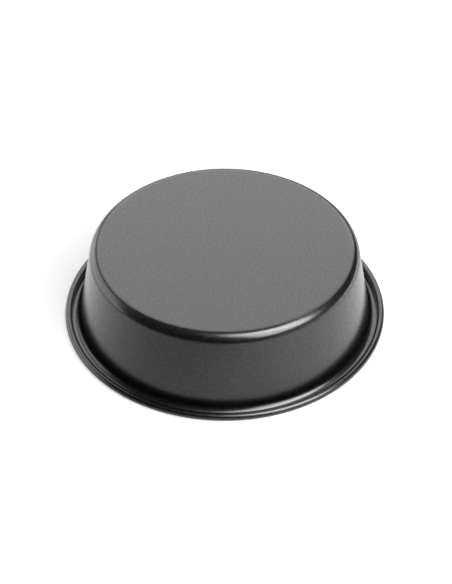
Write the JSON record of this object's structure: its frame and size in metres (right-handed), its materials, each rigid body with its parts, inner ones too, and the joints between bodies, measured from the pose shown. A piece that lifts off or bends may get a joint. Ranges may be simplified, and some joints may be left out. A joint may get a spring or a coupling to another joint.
{
  "type": "round cake tin",
  "caption": "Round one-piece cake tin with a tapered wall, narrow flange and rolled wired rim, standing upside down on its rim; turned over, it holds a cake in the oven.",
  "frame": {"origin": "centre of the flat rim face, on the plane that the upturned tin rests on", "axes": "+Z along the tin's axis, from the rim to the outer face of the base, so the tin stands upside down as in the picture and is turned over for use; X and Y are any two directions across the round tin"},
  "size_m": [0.252, 0.252, 0.0654],
  "materials": {
    "nonstick_coat": "satin",
    "wire_steel": "drawn"
  },
  "bodies": {
    "root": {"pan_shell": "nonstick_coat", "rim_wire": "wire_steel"}
  },
  "joints": []
}
